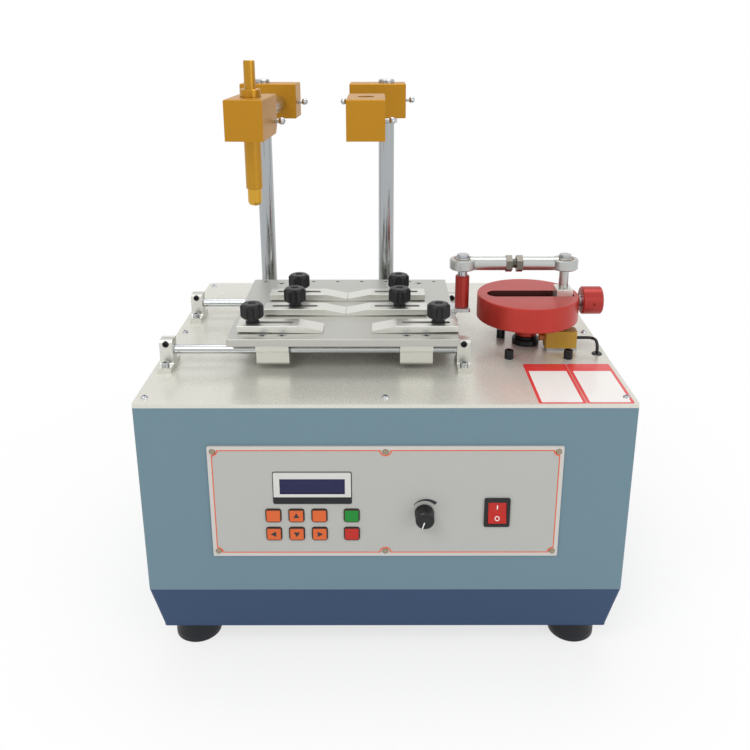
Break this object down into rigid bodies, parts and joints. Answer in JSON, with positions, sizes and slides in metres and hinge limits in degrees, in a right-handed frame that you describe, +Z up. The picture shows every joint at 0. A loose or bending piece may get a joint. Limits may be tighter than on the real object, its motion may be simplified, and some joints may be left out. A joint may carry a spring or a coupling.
{
  "type": "wire marking abrasion tester",
  "caption": "Bench tester that slides clamped wires to and fro under weighted scraping pins by a crank, rod and guided table.",
  "frame": {"origin": "on the bench under the feet, in the middle of the overall width and depth", "axes": "+Z up, +Y to the back, +X to the right seen from the front"},
  "size_m": [0.5, 0.421, 0.621],
  "materials": {
    "housing_paint": "satin grey-blue paint",
    "white_paint": "satin white paint",
    "black_rubber": "matt",
    "steel": "ground and polished",
    "zinc": "zinc-plated",
    "aluminium": "milled",
    "gold_anodised": "satin ochre-gold anodising",
    "red_anodised": "satin red anodising",
    "black_metal": "blackened",
    "panel_grey": "pale grey overlay, slightly glossy",
    "display": "dark window",
    "black_plastic": "fine grain",
    "orange": "moulded",
    "green": "moulded",
    "red_plastic": "moulded",
    "yellow_plastic": "moulded"
  },
  "bodies": {
    "frame": {"housing": "housing_paint", "base_plate": "housing_paint", "feet": "black_rubber", "cover_screws": "steel", "top_plate": "white_paint", "front_panel": "panel_grey", "display_window": "display", "electronics": "black_plastic", "rocker_bezel": "black_plastic", "inlet_socket": "black_plastic", "gear_motor": "black_metal", "rail_supports": "aluminium", "guide_rails": "steel", "socket_screws": "black_metal", "columns": "steel", "sensor_body": "yellow_plastic", "sensor_cable": "black_plastic"},
    "table": {"table_plate": "aluminium", "bearing_blocks": "aluminium", "table_screws": "black_metal", "rod_post": "red_anodised"},
    "crank_wheel": {"crank_wheel": "red_anodised"},
    "crank_block": {"crank_block": "aluminium"},
    "radius_knob": {"radius_knob": "red_anodised"},
    "connecting_rod": {"connecting_rod": "zinc"},
    "speed_knob": {"speed_knob": "black_plastic"},
    "power_rocker": {"power_rocker": "red_plastic"},
    "button_set": {"button_set": "orange"},
    "button_up": {"button_up": "orange"},
    "button_clear": {"button_clear": "orange"},
    "button_left": {"button_left": "orange"},
    "button_down": {"button_down": "orange"},
    "button_right": {"button_right": "orange"},
    "button_start": {"button_start": "green"},
    "button_stop": {"button_stop": "red_plastic"},
    "jaw_left_front": {"jaw_left_front": "aluminium"},
    "star_knob_left_front": {"star_knob_left_front": "black_plastic"},
    "jaw_right_front": {"jaw_right_front": "aluminium"},
    "star_knob_right_front": {"star_knob_right_front": "black_plastic"},
    "jaw_left_middle": {"jaw_left_middle": "aluminium"},
    "star_knob_left_middle": {"star_knob_left_middle": "black_plastic"},
    "jaw_right_middle": {"jaw_right_middle": "aluminium"},
    "star_knob_right_middle": {"star_knob_right_middle": "black_plastic"},
    "jaw_left_back": {"jaw_left_back": "aluminium"},
    "star_knob_left_back": {"star_knob_left_back": "black_plastic"},
    "jaw_right_back": {"jaw_right_back": "aluminium"},
    "star_knob_right_back": {"star_knob_right_back": "black_plastic"},
    "left_collar": {"left_stop_collar": "steel"},
    "left_clamp": {"left_column_clamp": "gold_anodised", "left_clamp_screws": "steel"},
    "left_arm": {"left_cross_arm": "steel", "left_pin_block": "gold_anodised", "left_pin_block_screw": "steel"},
    "right_collar": {"right_stop_collar": "steel"},
    "right_clamp": {"right_column_clamp": "gold_anodised", "right_clamp_screws": "steel"},
    "right_arm": {"right_cross_arm": "steel", "right_pin_block": "gold_anodised", "right_pin_block_screw": "steel"},
    "load_pin": {"load_pin": "steel"}
  },
  "joints": [
    {"name": "crank_turn", "type": "hinge", "parent": "frame", "child": "crank_wheel", "pos_m": [0.165, -0.0255, 0.353], "axis": [0, 0, 1], "range_deg": [0, 180]},
    {"name": "table_slide", "type": "slide", "parent": "frame", "child": "table", "axis": [1, 0, 0], "range_m": [-0.08, 0]},
    {"name": "rod_swing", "type": "hinge", "parent": "table", "child": "connecting_rod", "pos_m": [0.089, -0.0255, 0.397], "axis": [0, 0, 1], "range_deg": [-20, 20]},
    {"name": "radius_screw", "type": "hinge", "parent": "crank_wheel", "child": "radius_knob", "pos_m": [0.2, -0.0255, 0.353], "axis": [1, 0, 0], "range_deg": [0, 8640]},
    {"name": "crank_block_slide", "type": "slide", "parent": "crank_wheel", "child": "crank_block", "axis": [1, 0, 0], "range_m": [-0.03, 0]},
    {"name": "speed_turn", "type": "hinge", "parent": "frame", "child": "speed_knob", "pos_m": [0.0398, -0.2025, 0.1804], "axis": [0, 1, 0], "range_deg": [-135, 135]},
    {"name": "rocker_tilt", "type": "hinge", "parent": "frame", "child": "power_rocker", "pos_m": [0.114, -0.1925, 0.181], "axis": [1, 0, 0], "range_deg": [0, 16]},
    {"name": "button_set_press", "type": "slide", "parent": "frame", "child": "button_set", "axis": [0, 1, 0], "range_m": [0, 0.0015], "stiffness_N_per_m": 400},
    {"name": "button_up_press", "type": "slide", "parent": "frame", "child": "button_up", "axis": [0, 1, 0], "range_m": [0, 0.0015], "stiffness_N_per_m": 400},
    {"name": "button_clear_press", "type": "slide", "parent": "frame", "child": "button_clear", "axis": [0, 1, 0], "range_m": [0, 0.0015], "stiffness_N_per_m": 400},
    {"name": "button_left_press", "type": "slide", "parent": "frame", "child": "button_left", "axis": [0, 1, 0], "range_m": [0, 0.0015], "stiffness_N_per_m": 400},
    {"name": "button_down_press", "type": "slide", "parent": "frame", "child": "button_down", "axis": [0, 1, 0], "range_m": [0, 0.0015], "stiffness_N_per_m": 400},
    {"name": "button_right_press", "type": "slide", "parent": "frame", "child": "button_right", "axis": [0, 1, 0], "range_m": [0, 0.0015], "stiffness_N_per_m": 400},
    {"name": "button_start_press", "type": "slide", "parent": "frame", "child": "button_start", "axis": [0, 1, 0], "range_m": [0, 0.0015], "stiffness_N_per_m": 400},
    {"name": "button_stop_press", "type": "slide", "parent": "frame", "child": "button_stop", "axis": [0, 1, 0], "range_m": [0, 0.0015], "stiffness_N_per_m": 400},
    {"name": "jaw_left_front_slide", "type": "slide", "parent": "table", "child": "jaw_left_front", "axis": [1, 0, 0], "range_m": [-0.037, 0.004]},
    {"name": "star_knob_left_front_turn", "type": "hinge", "parent": "table", "child": "star_knob_left_front", "pos_m": [-0.1428, -0.0925, 0.355], "axis": [0, 0, 1], "range_deg": [0, 720]},
    {"name": "jaw_right_front_slide", "type": "slide", "parent": "table", "child": "jaw_right_front", "axis": [1, 0, 0], "range_m": [-0.009, 0.036]},
    {"name": "star_knob_right_front_turn", "type": "hinge", "parent": "table", "child": "star_knob_right_front", "pos_m": [0.0575, -0.0925, 0.355], "axis": [0, 0, 1], "range_deg": [0, 720]},
    {"name": "jaw_left_middle_slide", "type": "slide", "parent": "table", "child": "jaw_left_middle", "axis": [1, 0, 0], "range_m": [-0.022, 0]},
    {"name": "star_knob_left_middle_turn", "type": "hinge", "parent": "table", "child": "star_knob_left_middle", "pos_m": [-0.102, -0.0375, 0.355], "axis": [0, 0, 1], "range_deg": [0, 720]},
    {"name": "jaw_right_middle_slide", "type": "slide", "parent": "table", "child": "jaw_right_middle", "axis": [1, 0, 0], "range_m": [0, 0.011]},
    {"name": "star_knob_right_middle_turn", "type": "hinge", "parent": "table", "child": "star_knob_right_middle", "pos_m": [0.017, -0.0375, 0.355], "axis": [0, 0, 1], "range_deg": [0, 720]},
    {"name": "jaw_left_back_slide", "type": "slide", "parent": "table", "child": "jaw_left_back", "axis": [1, 0, 0], "range_m": [-0.022, 0]},
    {"name": "star_knob_left_back_turn", "type": "hinge", "parent": "table", "child": "star_knob_left_back", "pos_m": [-0.102, 0.0155, 0.355], "axis": [0, 0, 1], "range_deg": [0, 720]},
    {"name": "jaw_right_back_slide", "type": "slide", "parent": "table", "child": "jaw_right_back", "axis": [1, 0, 0], "range_m": [0, 0.022]},
    {"name": "star_knob_right_back_turn", "type": "hinge", "parent": "table", "child": "star_knob_right_back", "pos_m": [0.017, 0.0155, 0.355], "axis": [0, 0, 1], "range_deg": [0, 720]},
    {"name": "left_height", "type": "slide", "parent": "frame", "child": "left_collar", "axis": [0, 0, 1], "range_m": [-0.11, 0]},
    {"name": "left_swing", "type": "hinge", "parent": "left_collar", "child": "left_clamp", "pos_m": [-0.154, 0.1375, 0.565], "axis": [0, 0, 1], "range_deg": [-20, 8]},
    {"name": "left_reach", "type": "slide", "parent": "left_clamp", "child": "left_arm", "axis": [0.061, 0.9981, 0], "range_m": [-0.02, 0.08]},
    {"name": "right_height", "type": "slide", "parent": "frame", "child": "right_collar", "axis": [0, 0, 1], "range_m": [-0.11, 0]},
    {"name": "right_swing", "type": "hinge", "parent": "right_collar", "child": "right_clamp", "pos_m": [0.003, 0.1375, 0.565], "axis": [0, 0, 1], "range_deg": [-8, 20]},
    {"name": "right_reach", "type": "slide", "parent": "right_clamp", "child": "right_arm", "axis": [0, 1, 0], "range_m": [-0.02, 0.08]},
    {"name": "load_pin_lift", "type": "slide", "parent": "left_arm", "child": "load_pin", "axis": [0, 0, 1], "range_m": [0, 0.03]}
  ],
  "couplings": [
    {"joint": "table_slide", "follows": "crank_turn", "m_per_rad": -0.025464},
    {"joint": "crank_block_slide", "follows": "radius_screw", "m_per_rad": -0.0001989}
  ]
}
